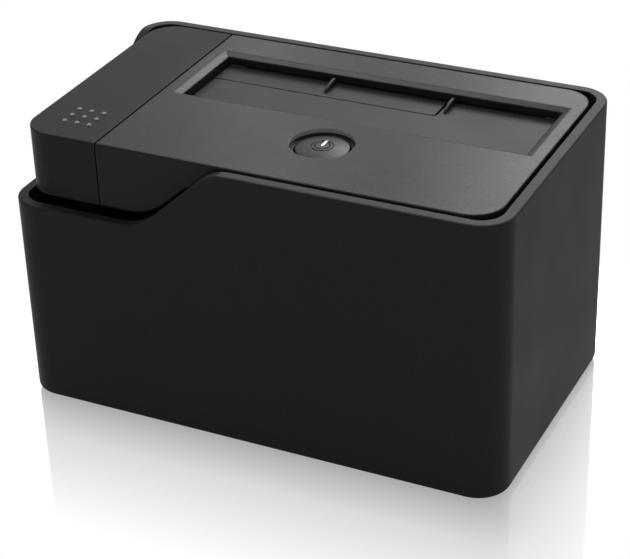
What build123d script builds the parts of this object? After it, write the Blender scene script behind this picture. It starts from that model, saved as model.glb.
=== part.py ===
from build123d import *
from math import asin, atan, cos, degrees, radians, sin, tan
import os

os.makedirs("parts", exist_ok=True)

# A docking station for one bare 3.5 inch or 2.5 inch drive. It stands on the plane z = 0.
# X runs along its front, Y from front to back and Z up, from the middle of its footprint.

# Outside of the dock; its width follows from the drive's
depth = 90.0
height = 86.0
foot_stand = 1.2
shell_corner = 9.5
shell_wall = 3.0

# Drives that it takes, and the play round them
drive_width = 101.6
drive_thickness = 26.1
small_drive_width = 69.85
small_drive_thickness = 9.5
drive_side_play = 1.75
drive_face_play = 1.1
connector_from_edge = 30.12
connector_from_face = 3.5

# Clearances that several pieces share
seam = 0.4
running_gap = 0.3
seat_gap = 0.3
shaft_clearance = 0.05
screw_clearance = 0.05
overrun = 1.0

# Rim of the shell: it dips round the left front corner in an S-curve
rim_drop = 0.3
rim_dip = 21.2
rise_angle = 42.0
low_arc = 17.0
high_arc = 13.0
front_rise_from_seam = 7.7
side_rise_from_back = 7.0
rim_round = 0.6

# Top cover and the eject button beside it
cover_inset = 4.2
cover_corner = 8.8
cover_thickness = 2.2
cover_wall = 1.6
cover_edge_round = 0.4
button_width = 24.6
left_strip = 6.3
right_strip = 5.6
back_strip = 13.8
slot_bevel_width = 2.0
slot_bevel_depth = 0.9
lip_wall = 1.4
lip_depth = 3.0
back_lip_wall = 0.6
skirt_rise_over_rim = 2.3
skirt_low_arc = 19.0
skirt_high_arc = 6.0
skirt_short = 8.0
eject_travel = 3.0

# Flaps over the drive slot, on one hinge rod
flap_drop = 3.4
flap_thickness = 1.6
flap_gap = 0.4
door_gap = 0.4
door_side_gap = 0.75
door_play = 0.5
door_corner = 1.0
hinge_behind_slot = 2.5
hinge_over_flap = 0.4
rod_radius = 1.0
barrel_radius = 2.0
ear_radius = 2.2
toe_reach = 1.2
toe_width = 6.0

# Power button
power_radius = 7.6
power_well_radius = 9.25
power_well_depth = 1.7
power_from_slot = 16.1
power_off_middle = 0.5
power_travel = 0.8

# Levels of the inside, from the base up
base_thickness = 2.4
board_stand = 5.0
board_thickness = 1.6
bay_over_board = 14.3
bay_wall = 1.6
bay_floor = 2.5

# Screws: shank, head and the recess of the head
screw_radius = 1.25
screw_head_radius = 2.4
screw_head_height = 1.4
screw_length = 8.0

# Places that follow from the sizes above
slot_width = drive_width + 2 * drive_side_play
width = cover_inset + button_width + left_strip + slot_width + right_strip + cover_inset
left = -width / 2
right = width / 2
front = -depth / 2
back = depth / 2
rim_top = height - rim_drop
rim_low = rim_top - rim_dip
cover_left = left + cover_inset
cover_right = right - cover_inset
cover_front = front + cover_inset
cover_back = back - cover_inset
cover_under = height - cover_thickness
seam_x = cover_left + button_width
slot_left = seam_x + left_strip
slot_right = slot_left + slot_width
slot_back = cover_back - back_strip
slot_front = slot_back - drive_thickness - 2 * drive_face_play
slot_middle = (slot_left + slot_right) / 2
skirt_low = rim_low + skirt_rise_over_rim
skirt_high = height - skirt_short
lip_bottom = cover_under - lip_depth
flap_top = height - flap_drop
flap_bottom = flap_top - flap_thickness
flap_left = slot_left + flap_gap
flap_right = slot_right - flap_gap
flap_front = slot_front + flap_gap
hinge_y = slot_back + hinge_behind_slot
hinge_z = flap_bottom + hinge_over_flap
door_right = slot_left + drive_side_play + small_drive_width - 2 * door_play
door_front = slot_back - small_drive_thickness - door_play
power_y = slot_front - power_from_slot
base_top = foot_stand + base_thickness
board_bottom = base_top + board_stand
board_top = board_bottom + board_thickness
bay_floor_top = board_top + bay_over_board
bay_floor_bottom = bay_floor_top - bay_floor
bay_top = lip_bottom - seat_gap
toe_top = lip_bottom - running_gap

# Upright connector for the drive: its middle follows the drive that stands in the slot
sata_length = 42.4
sata_depth = 6.2
sata_over_floor = 4.7
sata_x = slot_left + drive_side_play + connector_from_edge
sata_y = slot_back - drive_face_play - connector_from_face
sata_top = bay_floor_top + sata_over_floor

# Sockets on the rear edge of the main board
usb_width = 12.0
usb_height = 10.9
usb_length = 16.2
usb_from_middle = 2.0
esata_width = 15.0
esata_height = 6.0
esata_length = 14.0
esata_from_middle = 21.0
jack_width = 9.6
jack_length = 13.0
jack_nose_radius = 4.5
jack_axis_height = 6.0
jack_from_middle = 23.0
usb_x = usb_from_middle
esata_x = -esata_from_middle
jack_x = jack_from_middle
jack_z = board_top + jack_axis_height

# Main board under the bay, past the connector and the sockets at its left
board_left_margin = 7.1
board_right_of_slot = 16.7
board_before_slot = 14.7
board_back_gap = 1.0
board_left = min(sata_x - sata_length / 2, esata_x - esata_width / 2) - board_left_margin
board_right = slot_right - board_right_of_slot
board_front = slot_front - board_before_slot
board_back = back - shell_wall - board_back_gap


def rounded_area(plane, x_span, y_span, radius):
    """Rectangle with four round corners."""
    with BuildSketch(plane) as area:
        with Locations((sum(x_span) / 2, sum(y_span) / 2)):
            RectangleRounded(x_span[1] - x_span[0], y_span[1] - y_span[0], radius)
    return area.sketch


def one_side_rounded_area(plane, x_span, y_span, radius, side):
    """Rectangle whose two corners on one side, 0 for the left or -1 for the right, are round."""
    with BuildSketch(plane) as area:
        with Locations((sum(x_span) / 2, sum(y_span) / 2)):
            Rectangle(x_span[1] - x_span[0], y_span[1] - y_span[0])
        fillet(area.vertices().group_by(Axis.X)[side], radius)
    return area.sketch


def block(x_span, y_span, z_span, mode=Mode.ADD):
    """Block between three pairs of coordinates, in the part that is being built."""
    spans = (x_span, y_span, z_span)
    with Locations(tuple(sum(span) / 2 for span in spans)):
        Box(*[span[1] - span[0] for span in spans], mode=mode)


def column(x, y, z_span, radius, mode=Mode.ADD):
    """Upright cylinder in the part that is being built."""
    with Locations((x, y, sum(z_span) / 2)):
        Cylinder(radius, z_span[1] - z_span[0], mode=mode)


def bar_along_x(x_span, y, z, radius, mode=Mode.ADD):
    """Cylinder along X in the part that is being built."""
    with Locations((sum(x_span) / 2, y, z)):
        Cylinder(radius, x_span[1] - x_span[0], rotation=(0, 90, 0), mode=mode)


def bar_along_y(x, y_span, z, radius, mode=Mode.ADD):
    """Cylinder along Y in the part that is being built."""
    with Locations((x, sum(y_span) / 2, z)):
        Cylinder(radius, y_span[1] - y_span[0], rotation=(90, 0, 0), mode=mode)


def about(middle, size):
    """The two ends of a stretch that lies evenly about its middle."""
    return (middle - size / 2, middle + size / 2)


def sphere_radius(base_radius, rise):
    """Radius of the sphere whose cap is rise high over a circle of base_radius."""
    return (base_radius ** 2 + rise ** 2) / (2 * rise)


def finish(piece, name):
    """Labels a finished piece and writes it."""
    piece.part.label = name
    export_step(piece.part, "parts/" + name + ".step")


def rise_line(start, low, high, low_radius, high_radius):
    """S-curve from (start, low) up to high: an arc, a straight ramp and an arc back to level."""
    round_rise = (low_radius + high_radius) * (1 - cos(radians(rise_angle)))
    ramp_length = (high - low - round_rise) / sin(radians(rise_angle))
    foot = JernArc((start, low), (1, 0), low_radius, rise_angle)
    ramp = PolarLine(foot @ 1, ramp_length, rise_angle)
    JernArc(ramp @ 1, ramp % 1, high_radius, -rise_angle)


def rise_run(rise, low_radius, high_radius):
    """Level length of that S-curve."""
    radii = low_radius + high_radius
    straight_rise = rise - radii * (1 - cos(radians(rise_angle)))
    return radii * sin(radians(rise_angle)) + straight_rise / tan(radians(rise_angle))


def area_over_rise(plane, begin, start):
    """What the rim's dip takes away: all above the S-curve, back to begin."""
    end = start + rise_run(rim_dip, low_arc, high_arc)
    with BuildSketch(plane) as area:
        with BuildLine():
            Line((begin, rim_low), (start, rim_low))
            rise_line(start, rim_low, rim_top, low_arc, high_arc)
            Polyline((end, rim_top), (end, height), (begin, height), (begin, rim_low))
        make_face()
    return area.sketch


def screws(places, seat, length, down):
    """Pan head screws at the places: the heads sit on the level seat, the shanks run up or down."""
    way = -1 if down else 1
    for x, y in places:
        with BuildSketch(Plane.XZ) as half:
            with BuildLine():
                Polyline(
                    (0, seat - way * screw_head_height),
                    (screw_head_radius, seat - way * screw_head_height),
                    (screw_head_radius, seat),
                    (screw_radius, seat),
                    (screw_radius, seat + way * length),
                    (0, seat + way * length),
                    close=True,
                )
            make_face()
        turned = revolve(half.sketch, Axis.Z, mode=Mode.PRIVATE)
        add(turned.moved(Location((x, y, 0))))


# Outer shell: an open tub whose rim dips at the left front, with screw bosses and rear ports
shell_boss_radius = 3.4
shell_boss_height = 16.0
shell_boss_web = 1.6
boss_from_side = 8.5
shell_foot_round = 1.0
port_panel_width = 70.0
port_panel_height = 17.5
port_panel_corner = 1.5
port_panel_recess = 0.8
port_gap = 0.35
panel_over_base = 4.0
locating_lip_height = 2.0

inner_left = left + shell_wall
inner_right = right - shell_wall
inner_front = front + shell_wall
inner_back = back - shell_wall
inner_corner = shell_corner - shell_wall
boss_places = [
    (x_side * (right - boss_from_side), y_side * (back - boss_from_side))
    for x_side in (-1, 1)
    for y_side in (-1, 1)
]
front_rise_start = seam_x + front_rise_from_seam
side_rise_start = back - side_rise_from_back - rise_run(rim_dip, low_arc, high_arc)
port_face = back - port_panel_recess
panel_low = base_top + panel_over_base

with BuildPart() as outer_shell:
    base_plane = Plane.XY.offset(foot_stand)
    extrude(rounded_area(base_plane, (left, right), (front, back), shell_corner),
            amount=rim_top - foot_stand)
    extrude(rounded_area(base_plane, (inner_left, inner_right), (inner_front, inner_back), inner_corner),
            amount=rim_top - foot_stand, mode=Mode.SUBTRACT)
    front_cut = area_over_rise(Plane.XZ.offset(-front - shell_corner), left - overrun, front_rise_start)
    extrude(front_cut, amount=shell_corner + overrun, mode=Mode.SUBTRACT)
    side_cut = area_over_rise(Plane.YZ.offset(left - overrun), front - overrun, side_rise_start)
    extrude(side_cut, amount=shell_corner + overrun, mode=Mode.SUBTRACT)
    rim_edges = outer_shell.edges().filter_by_position(Axis.Z, rim_low - overrun / 2, height)
    outer_rim = [edge for edge in rim_edges if not any(
        (inner_left - running_gap < point.X < inner_right + running_gap
         and inner_front - running_gap < point.Y < inner_back + running_gap)
        for point in (edge @ 0, edge @ (1 / 2), edge @ 1))]
    fillet(outer_rim, rim_round)
    foot_edges = outer_shell.faces().sort_by(Axis.Z)[0].outer_wire().edges()
    fillet(foot_edges, shell_foot_round)
    for x, y in boss_places:
        column(x, y, (base_top, base_top + shell_boss_height), shell_boss_radius)
        web_z = (base_top + locating_lip_height + seat_gap, base_top + shell_boss_height)
        x_wall = inner_right if x > 0 else inner_left
        y_wall = inner_back if y > 0 else inner_front
        block(sorted((x, x_wall)), about(y, shell_boss_web), web_z)
        block(about(x, shell_boss_web), sorted((y, y_wall)), web_z)
        column(x, y, (base_top, base_top + shell_boss_height), screw_radius + screw_clearance,
               Mode.SUBTRACT)
    panel = rounded_area(Plane.XZ.offset(-back - overrun), about(0, port_panel_width),
                         (panel_low, panel_low + port_panel_height), port_panel_corner)
    extrude(panel, amount=port_panel_recess + overrun, mode=Mode.SUBTRACT)
    block(about(usb_x, usb_width + 2 * port_gap), (inner_back - overrun, back),
          (board_top - port_gap, board_top + usb_height + port_gap), Mode.SUBTRACT)
    block(about(esata_x, esata_width + 2 * port_gap), (inner_back - overrun, back),
          (board_top - port_gap, board_top + esata_height + port_gap), Mode.SUBTRACT)
    bar_along_y(jack_x, (inner_back - overrun, back), jack_z, jack_nose_radius + port_gap, Mode.SUBTRACT)
finish(outer_shell, "outer_shell")

# Base plate: set into the shell's foot, with seats for the feet, vents and board stands
foot_radius = 5.0
foot_seat = 0.8
foot_from_side = 21.0
foot_from_front = 11.0
vent_width = 2.0
vent_length = 14.0
vent_pitch = 5.0
vent_rows_apart = 22.0
vents_per_row = 10
locating_lip = 1.4
lip_inset = 1.0
stand_radius = 3.0
stand_from_edge = 3.5
head_seat_depth = 1.6

foot_places = [
    (x_side * (right - foot_from_side), y_side * (back - foot_from_front))
    for x_side in (-1, 1)
    for y_side in (-1, 1)
]
stand_places = [
    (x, y)
    for x in (board_left + stand_from_edge, board_right - stand_from_edge)
    for y in (board_front + stand_from_edge, board_back - stand_from_edge)
]

# Drive bay legs stand on the base plate; left ones under the wing, right ones under the floor
leg_radius = 3.6
wing_from_cover = 1.8
wing_from_front = 9.0
wing_from_back = 5.0
left_leg_from_wing = 7.0
front_leg_from_wing = 19.8
back_leg_from_wing = 25.8
right_leg_from_slot = 6.7
right_leg_from_face = 3.3
wing_left = cover_left + wing_from_cover
wing_front = cover_front + wing_from_front
wing_back = cover_back - wing_from_back
left_leg_x = wing_left + left_leg_from_wing
right_leg_x = slot_right - right_leg_from_slot
leg_places = [
    (left_leg_x, wing_front + front_leg_from_wing),
    (left_leg_x, wing_back - back_leg_from_wing),
    (right_leg_x, slot_front + right_leg_from_face),
    (right_leg_x, slot_back - right_leg_from_face),
]

with BuildPart() as base_plate:
    plate_area = rounded_area(base_plane, (inner_left + seat_gap, inner_right - seat_gap),
                              (inner_front + seat_gap, inner_back - seat_gap), inner_corner - seat_gap)
    extrude(plate_area, amount=base_thickness)
    lip_plane = Plane.XY.offset(base_top)
    lip_x = (inner_left + lip_inset, inner_right - lip_inset)
    lip_y = (inner_front + lip_inset, inner_back - lip_inset)
    extrude(rounded_area(lip_plane, lip_x, lip_y, inner_corner - lip_inset), amount=locating_lip_height)
    extrude(rounded_area(lip_plane, (lip_x[0] + locating_lip, lip_x[1] - locating_lip),
                         (lip_y[0] + locating_lip, lip_y[1] - locating_lip),
                         inner_corner - lip_inset - locating_lip),
            amount=locating_lip_height, mode=Mode.SUBTRACT)
    for x, y in boss_places:
        column(x, y, (base_top, base_top + locating_lip_height), shell_boss_radius + seat_gap,
               Mode.SUBTRACT)
    for x, y in foot_places:
        column(x, y, (foot_stand, foot_stand + foot_seat), foot_radius + seat_gap, Mode.SUBTRACT)
    for x, y in boss_places + leg_places:
        column(x, y, (foot_stand, base_top), screw_radius + screw_clearance, Mode.SUBTRACT)
        column(x, y, (foot_stand, foot_stand + head_seat_depth), screw_head_radius + seat_gap,
               Mode.SUBTRACT)
    for x, y in stand_places:
        column(x, y, (base_top, board_bottom), stand_radius)
        column(x, y, (base_top, board_bottom), screw_radius + screw_clearance, Mode.SUBTRACT)
    with BuildSketch(base_plane) as vents:
        with GridLocations(vent_pitch, vent_rows_apart, vents_per_row, 2):
            SlotOverall(vent_length, vent_width, rotation=90)
    extrude(vents.sketch, amount=base_thickness, mode=Mode.SUBTRACT)
finish(base_plate, "base_plate")

with BuildPart() as rubber_feet:
    for x, y in foot_places:
        column(x, y, (0, foot_stand + foot_seat), foot_radius)
    chamfer(rubber_feet.edges().filter_by(GeomType.CIRCLE).group_by(Axis.Z)[0], foot_stand / 2)
finish(rubber_feet, "rubber_feet")

with BuildPart() as base_screws:
    screws(boss_places, foot_stand + head_seat_depth, screw_length, False)
finish(base_screws, "base_screws")

with BuildPart() as bay_screws:
    screws(leg_places, foot_stand + head_seat_depth, screw_length, False)
finish(bay_screws, "bay_screws")

# Drive bay: the well that holds the drive, its floor open for the connector and the lever
recess_play = 0.5
ramp_height = 6.0
flap_hang_gap = 1.8
toe_side_gap = 0.6
tab_under_cover = 13.8
tab_thickness = 2.0
tab_radius = 4.0
tab_out = 5.0
tab_from_side = 9.0
guide_x_from_seam = 12.3
guide_from_front = 14.8
guide_from_back = 11.3
guide_shoulder_radius = 4.2
guide_shoulder_height = 15.5
guide_radius = 2.0
guide_under_cover = 9.8
toe_from_side = 14.5

recess_back = hinge_y + barrel_radius + recess_play
flap_reach = hinge_y - flap_front
recess_bottom = hinge_z - flap_reach - toe_reach - flap_hang_gap
toe_xs = (slot_left + toe_from_side, slot_right - toe_from_side)
toe_notch_depth = 8.0
door_toe_from_front = 1.3
door_toe_length = 2.5
door_toe_y = door_front + door_toe_from_front
toe_depth = 2.0
guide_x = seam_x - guide_x_from_seam
guide_ys = (cover_front + guide_from_front, cover_back - guide_from_back)
guide_shoulder_top = bay_floor_top + guide_shoulder_height
guide_top = cover_under - guide_under_cover
tab_level = cover_under - tab_under_cover
tab_xs = (slot_left + tab_from_side, slot_right - tab_from_side)
tab_places = [(x, slot_front - bay_wall - tab_out + overrun) for x in tab_xs]
tab_places += [(x, recess_back + bay_wall + tab_out - 2 * overrun) for x in tab_xs]

# Lever places that the bay's floor is cut for
sata_floor_gap = 0.6
lever_from_slot_back = 8.0
lever_thickness = 4.0
lever_height = 3.0
lever_pin_radius = 1.2
lever_boss_radius = 2.8
lever_under_floor = 5.5
pivot_from_slot = 8.3
push_arm = 13.0
lift_arm = 13.0
nose_width = 3.2
rod_size = 4.0
rod_barb = 1.4
rod_barb_reach = 1.5
rod_tip_radius = 2.0
ear_wall = 1.5

lever_y = slot_back - lever_from_slot_back
pivot_x = slot_left - pivot_from_slot
pivot_z = bay_floor_bottom - lever_under_floor
rod_x = pivot_x - push_arm
rod_end = bay_floor_bottom - running_gap - rod_barb
rod_tip = rod_end - rod_tip_radius
nose_x = pivot_x + lift_arm
lever_turn = degrees(asin(eject_travel / push_arm))
nose_swing = (bay_floor_top - pivot_z) * sin(radians(lever_turn))

with BuildPart() as drive_bay:
    with BuildSketch(Plane.YZ.offset(slot_left - bay_wall)) as side_outer:
        with BuildLine():
            Polyline(
                (slot_front - bay_wall, bay_floor_bottom),
                (slot_back + bay_wall, bay_floor_bottom),
                (slot_back + bay_wall, recess_bottom - ramp_height - bay_wall),
                (recess_back + bay_wall, recess_bottom - bay_wall),
                (recess_back + bay_wall, bay_top),
                (slot_front - bay_wall, bay_top),
                close=True,
            )
        make_face()
    extrude(amount=slot_right - slot_left + 2 * bay_wall)
    with BuildSketch(Plane.YZ.offset(slot_left)) as side_inner:
        with BuildLine():
            Polyline(
                (slot_front, bay_floor_top),
                (slot_back, bay_floor_top),
                (slot_back, recess_bottom - ramp_height),
                (recess_back, recess_bottom),
                (recess_back, height),
                (slot_front, height),
                close=True,
            )
        make_face()
    extrude(amount=slot_right - slot_left, mode=Mode.SUBTRACT)
    block((wing_left, slot_left - bay_wall), (wing_front, wing_back), (bay_floor_bottom, bay_floor_top))
    for x, y in leg_places:
        column(x, y, (base_top, bay_floor_bottom), leg_radius)
        column(x, y, (base_top, base_top + screw_length), screw_radius + screw_clearance, Mode.SUBTRACT)
    for y in guide_ys:
        column(guide_x, y, (bay_floor_top, guide_shoulder_top), guide_shoulder_radius)
        column(guide_x, y, (guide_shoulder_top, guide_top), guide_radius)
    for x, y in tab_places:
        toward_bay = slot_front if y < slot_front else recess_back
        block(about(x, 2 * tab_radius), (min(y, toward_bay), max(y, toward_bay)),
              (tab_level, tab_level + tab_thickness))
        column(x, y, (tab_level, tab_level + tab_thickness), tab_radius)
        column(x, y, (tab_level, tab_level + tab_thickness), screw_radius + screw_clearance, Mode.SUBTRACT)
    block((slot_left, slot_right), (slot_front, slot_back), (bay_floor_top, bay_top), Mode.SUBTRACT)
    block((slot_left, slot_right), (slot_back, recess_back), (recess_bottom, bay_top), Mode.SUBTRACT)
    for x in toe_xs:
        block(about(x, toe_width + 2 * toe_side_gap), (slot_front - bay_wall, slot_front),
              (bay_top - toe_notch_depth, bay_top), Mode.SUBTRACT)
    door_swing = hinge_y - door_toe_y + overrun
    block((slot_left - bay_wall, slot_left), (door_toe_y - overrun, recess_back),
          (hinge_z - door_swing, bay_top), Mode.SUBTRACT)
    block((slot_right, slot_right + bay_wall), (hinge_y - ear_radius - seat_gap, recess_back),
          (hinge_z - ear_radius - seat_gap, bay_top), Mode.SUBTRACT)
    block(about(sata_x, sata_length + 2 * sata_floor_gap), about(sata_y, sata_depth + 2 * sata_floor_gap),
          (bay_floor_bottom, bay_floor_top), Mode.SUBTRACT)
    block((nose_x - nose_width / 2 - nose_swing - sata_floor_gap, nose_x + nose_width / 2 + sata_floor_gap),
          about(lever_y, lever_thickness + 2 * sata_floor_gap), (bay_floor_bottom, bay_floor_top),
          Mode.SUBTRACT)
    block(about(rod_x, rod_size + 2 * seam), about(lever_y, rod_size + 2 * seam),
          (bay_floor_bottom, bay_floor_top), Mode.SUBTRACT)
    for side in (-1, 1):
        ear_y = lever_y + side * (lever_thickness / 2 + running_gap + ear_wall / 2)
        block(about(pivot_x, 2 * lever_boss_radius), about(ear_y, ear_wall), (pivot_z, bay_floor_bottom))
        bar_along_y(pivot_x, about(ear_y, ear_wall), pivot_z, lever_boss_radius)
    bar_along_y(pivot_x, about(lever_y, lever_thickness + 4 * ear_wall), pivot_z,
                lever_pin_radius + shaft_clearance, Mode.SUBTRACT)
finish(drive_bay, "drive_bay")

# Eject lever: a rocker between the button's rod and the edge of the drive
lever_pin_over = 0.4
push_pad = 2.5

with BuildPart() as eject_lever:
    lever_top = rod_tip - running_gap
    lever_end = rod_x - push_pad
    nose_top = bay_floor_top - running_gap
    with BuildSketch(Plane.XZ.offset(-lever_y - lever_thickness / 2)) as lever_side:
        with BuildLine():
            Polyline(
                (lever_end, lever_top),
                (nose_x - nose_width / 2, lever_top),
                (nose_x - nose_width / 2, nose_top),
                (nose_x + nose_width / 2, nose_top),
                (nose_x + nose_width / 2, lever_top - lever_height),
                (lever_end, lever_top - lever_height),
                close=True,
            )
        make_face()
        with Locations((pivot_x, pivot_z)):
            Circle(lever_boss_radius)
    extrude(amount=lever_thickness)
    fillet(eject_lever.edges().filter_by(Axis.Y).group_by(Axis.Z)[-1], nose_width / 3)
    fillet(eject_lever.edges().filter_by(Axis.Y).group_by(Axis.X)[0], lever_height / 3)
    bar_along_y(pivot_x, about(lever_y, lever_thickness), pivot_z,
                lever_pin_radius + shaft_clearance, Mode.SUBTRACT)
finish(eject_lever, "eject_lever")

with BuildPart() as lever_pin:
    pin_length = lever_thickness + 2 * (running_gap + ear_wall + lever_pin_over)
    bar_along_y(pivot_x, about(lever_y, pin_length), pivot_z, lever_pin_radius)
    chamfer(lever_pin.edges().filter_by(GeomType.CIRCLE), lever_pin_over / 2)
finish(lever_pin, "lever_pin")

# Top cover: plate and skirt, the bevelled drive slot, the power button's well, and bosses under it
collar_wall = 1.8
collar_depth = 6.0
cap_gap = 0.4
cover_boss_radius = 3.0
board_boss_radius = 2.4
board_boss_from_cap = 12.5
switch_board_under_cover = 13.8
ear_width = 3.0
end_ear_width = 1.8
end_ear_gap = 0.1

bore_radius = power_radius + cap_gap
power_x = slot_middle - power_off_middle
power_under = cover_under - collar_depth
switch_board_top = cover_under - switch_board_under_cover
ear_spans = [
    (slot_left - end_ear_gap - end_ear_width, slot_left - end_ear_gap),
    about(door_right + door_side_gap / 2, ear_width),
    (slot_right + end_ear_gap, slot_right + end_ear_gap + end_ear_width),
]
board_boss_places = [(power_x + side * board_boss_from_cap, power_y) for side in (-1, 1)]
skirt_rise_start = front_rise_start + overrun
slot_bevel_angle = degrees(atan(slot_bevel_width / slot_bevel_depth))
back_lip_bottom = flap_top + running_gap

with BuildPart() as top_cover:
    cover_x = (seam_x + seam, cover_right)
    cover_y = (cover_front, cover_back)
    skirt_plane = Plane.XY.offset(skirt_low)
    extrude(one_side_rounded_area(skirt_plane, cover_x, cover_y, cover_corner, -1),
            amount=height - skirt_low)
    inner_x = (cover_x[0] + cover_wall, cover_x[1] - cover_wall)
    inner_y = (cover_y[0] + cover_wall, cover_y[1] - cover_wall)
    extrude(one_side_rounded_area(skirt_plane, inner_x, inner_y, cover_corner - cover_wall, -1),
            amount=cover_under - skirt_low, mode=Mode.SUBTRACT)
    skirt_run = rise_run(skirt_high - skirt_low, skirt_low_arc, skirt_high_arc)
    with BuildSketch(Plane.XZ.offset(-inner_y[0])) as under_skirt:
        with BuildLine():
            rise_line(skirt_rise_start, skirt_low, skirt_high, skirt_low_arc, skirt_high_arc)
            Polyline(
                (skirt_rise_start + skirt_run, skirt_high),
                (right, skirt_high),
                (right, skirt_low - overrun),
                (skirt_rise_start, skirt_low - overrun),
                (skirt_rise_start, skirt_low),
            )
        make_face()
    extrude(amount=cover_wall + overrun, mode=Mode.SUBTRACT)
    block((inner_x[0], right), (inner_y[0], back), (skirt_low - overrun, skirt_high), Mode.SUBTRACT)
    fillet(top_cover.faces().sort_by(Axis.Z)[-1].outer_wire().edges(), cover_edge_round)
    block((slot_left - lip_wall, slot_right + lip_wall), (slot_front - lip_wall, slot_back),
          (lip_bottom, cover_under))
    block((slot_left - lip_wall, slot_right + lip_wall), (slot_back, slot_back + back_lip_wall),
          (back_lip_bottom, cover_under))
    block((slot_left, slot_right), (slot_front, slot_back), (lip_bottom, height), Mode.SUBTRACT)
    with BuildSketch(Plane.XY.offset(height)) as slot_mouth:
        with Locations((slot_middle, (slot_front + slot_back) / 2)):
            Rectangle(slot_right - slot_left + 2 * slot_bevel_width,
                      slot_back - slot_front + 2 * slot_bevel_width)
    extrude(amount=-slot_bevel_depth, taper=slot_bevel_angle, mode=Mode.SUBTRACT)
    column(power_x, power_y, (power_under, cover_under), bore_radius + collar_wall)
    column(power_x, power_y, (power_under, height), bore_radius, Mode.SUBTRACT)
    column(power_x, power_y, (height - power_well_depth, height), power_well_radius, Mode.SUBTRACT)
    for x, y in tab_places:
        column(x, y, (tab_level + tab_thickness, cover_under), cover_boss_radius)
        column(x, y, (tab_level + tab_thickness, cover_under), screw_radius + screw_clearance,
               Mode.SUBTRACT)
    for x, y in board_boss_places:
        column(x, y, (switch_board_top, cover_under), board_boss_radius)
        column(x, y, (switch_board_top, cover_under), screw_radius + screw_clearance, Mode.SUBTRACT)
    for span in ear_spans:
        bar_along_x(span, hinge_y, hinge_z, ear_radius)
        block(span, about(hinge_y, 2 * ear_radius), (hinge_z, cover_under))
    bar_along_x((slot_left - lip_wall - end_ear_width, slot_right + lip_wall + end_ear_width),
                hinge_y, hinge_z, rod_radius + shaft_clearance, Mode.SUBTRACT)
finish(top_cover, "top_cover")

with BuildPart() as cover_screws:
    screws(tab_places, tab_level, screw_length, False)
finish(cover_screws, "cover_screws")

# Eject button: the left end of the top, with its skirt, sockets for the guide posts and push rod
socket_radius = 3.6
spring_room = 12.0
guide_clearance = 0.08
dot_radius = 0.75
dot_height = 0.5
dot_pitch = 4.0
dots_per_side = 3
dots_from_front = 13.5
dots_from_left = 13.5

socket_bottom = guide_shoulder_top + spring_room

with BuildPart() as eject_button:
    skirt_plane = Plane.XY.offset(skirt_low)
    button_x = (cover_left, seam_x)
    button_y = (cover_front, cover_back)
    extrude(one_side_rounded_area(skirt_plane, button_x, button_y, cover_corner, 0),
            amount=height - skirt_low)
    extrude(one_side_rounded_area(skirt_plane, (button_x[0] + cover_wall, button_x[1] - cover_wall),
                                  (button_y[0] + cover_wall, button_y[1] - cover_wall),
                                  cover_corner - cover_wall, 0),
            amount=cover_under - skirt_low, mode=Mode.SUBTRACT)
    fillet(eject_button.faces().sort_by(Axis.Z)[-1].outer_wire().edges(), cover_edge_round)
    for y in guide_ys:
        column(guide_x, y, (socket_bottom, cover_under), socket_radius)
        column(guide_x, y, (socket_bottom, cover_under), guide_radius + guide_clearance, Mode.SUBTRACT)
    block(about(rod_x, rod_size), about(lever_y, rod_size), (rod_end, cover_under))
    block((rod_x - rod_size / 2, rod_x + rod_size / 2 + rod_barb_reach), about(lever_y, rod_size),
          (rod_end, rod_end + rod_barb))
    bar_along_y(rod_x, about(lever_y, rod_size), rod_end, rod_tip_radius)
    dot_sphere = sphere_radius(dot_radius, dot_height)
    dots_middle = (cover_left + dots_from_left, cover_front + dots_from_front,
                   height + dot_height - dot_sphere)
    with Locations(dots_middle):
        with GridLocations(dot_pitch, dot_pitch, dots_per_side, dots_per_side):
            Sphere(dot_sphere)
finish(eject_button, "eject_button")


def coil(middle, base, coil_height, coil_radius, wire_radius, turns):
    """Upright coil of round wire."""
    path = Helix(coil_height / turns, coil_height, coil_radius)
    section_plane = Plane(origin=path @ 0, z_dir=path % 0)
    with BuildSketch(section_plane) as section:
        Circle(wire_radius)
    wire = sweep(section.sketch, path=path, is_frenet=True, mode=Mode.PRIVATE)
    return wire.moved(Location((middle[0], middle[1], base)))


# Springs that lift the eject button, one round each guide post
eject_wire = 0.4
eject_coil_radius = 2.9
eject_turns = 5

with BuildPart() as eject_springs:
    spring_low = guide_shoulder_top + eject_wire + running_gap / 2
    spring_high = socket_bottom - eject_wire - running_gap / 2
    for y in guide_ys:
        add(coil((guide_x, y), spring_low, spring_high - spring_low, eject_coil_radius, eject_wire,
                 eject_turns))
finish(eject_springs, "eject_springs")

# Flaps: the small door for thin drives, and the large flap that bends round it in an L
flap_spring_wire = 0.25
flap_spring_radius = 1.55
flap_spring_turns = 6
flap_spring_length = 5.0
fin_thickness = 0.8
fin_length = 6.5
fin_height = 2.0
fin_from_slot_back = 1.2
door_fin_share = 0.5
large_fin_from_door = 1.5
rib_depth = 1.0
rib_width = 1.2

hinge_relief = ear_radius + 2 * running_gap
door_barrel = (flap_left + flap_spring_length + running_gap, ear_spans[1][0] - running_gap)
large_barrel = (ear_spans[1][1] + running_gap, flap_right - flap_spring_length - running_gap)
fin_back = slot_back - fin_from_slot_back
door_fin_x = flap_left + (door_right - flap_left) * door_fin_share
large_fin_x = door_right + door_side_gap + large_fin_from_door


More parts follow.
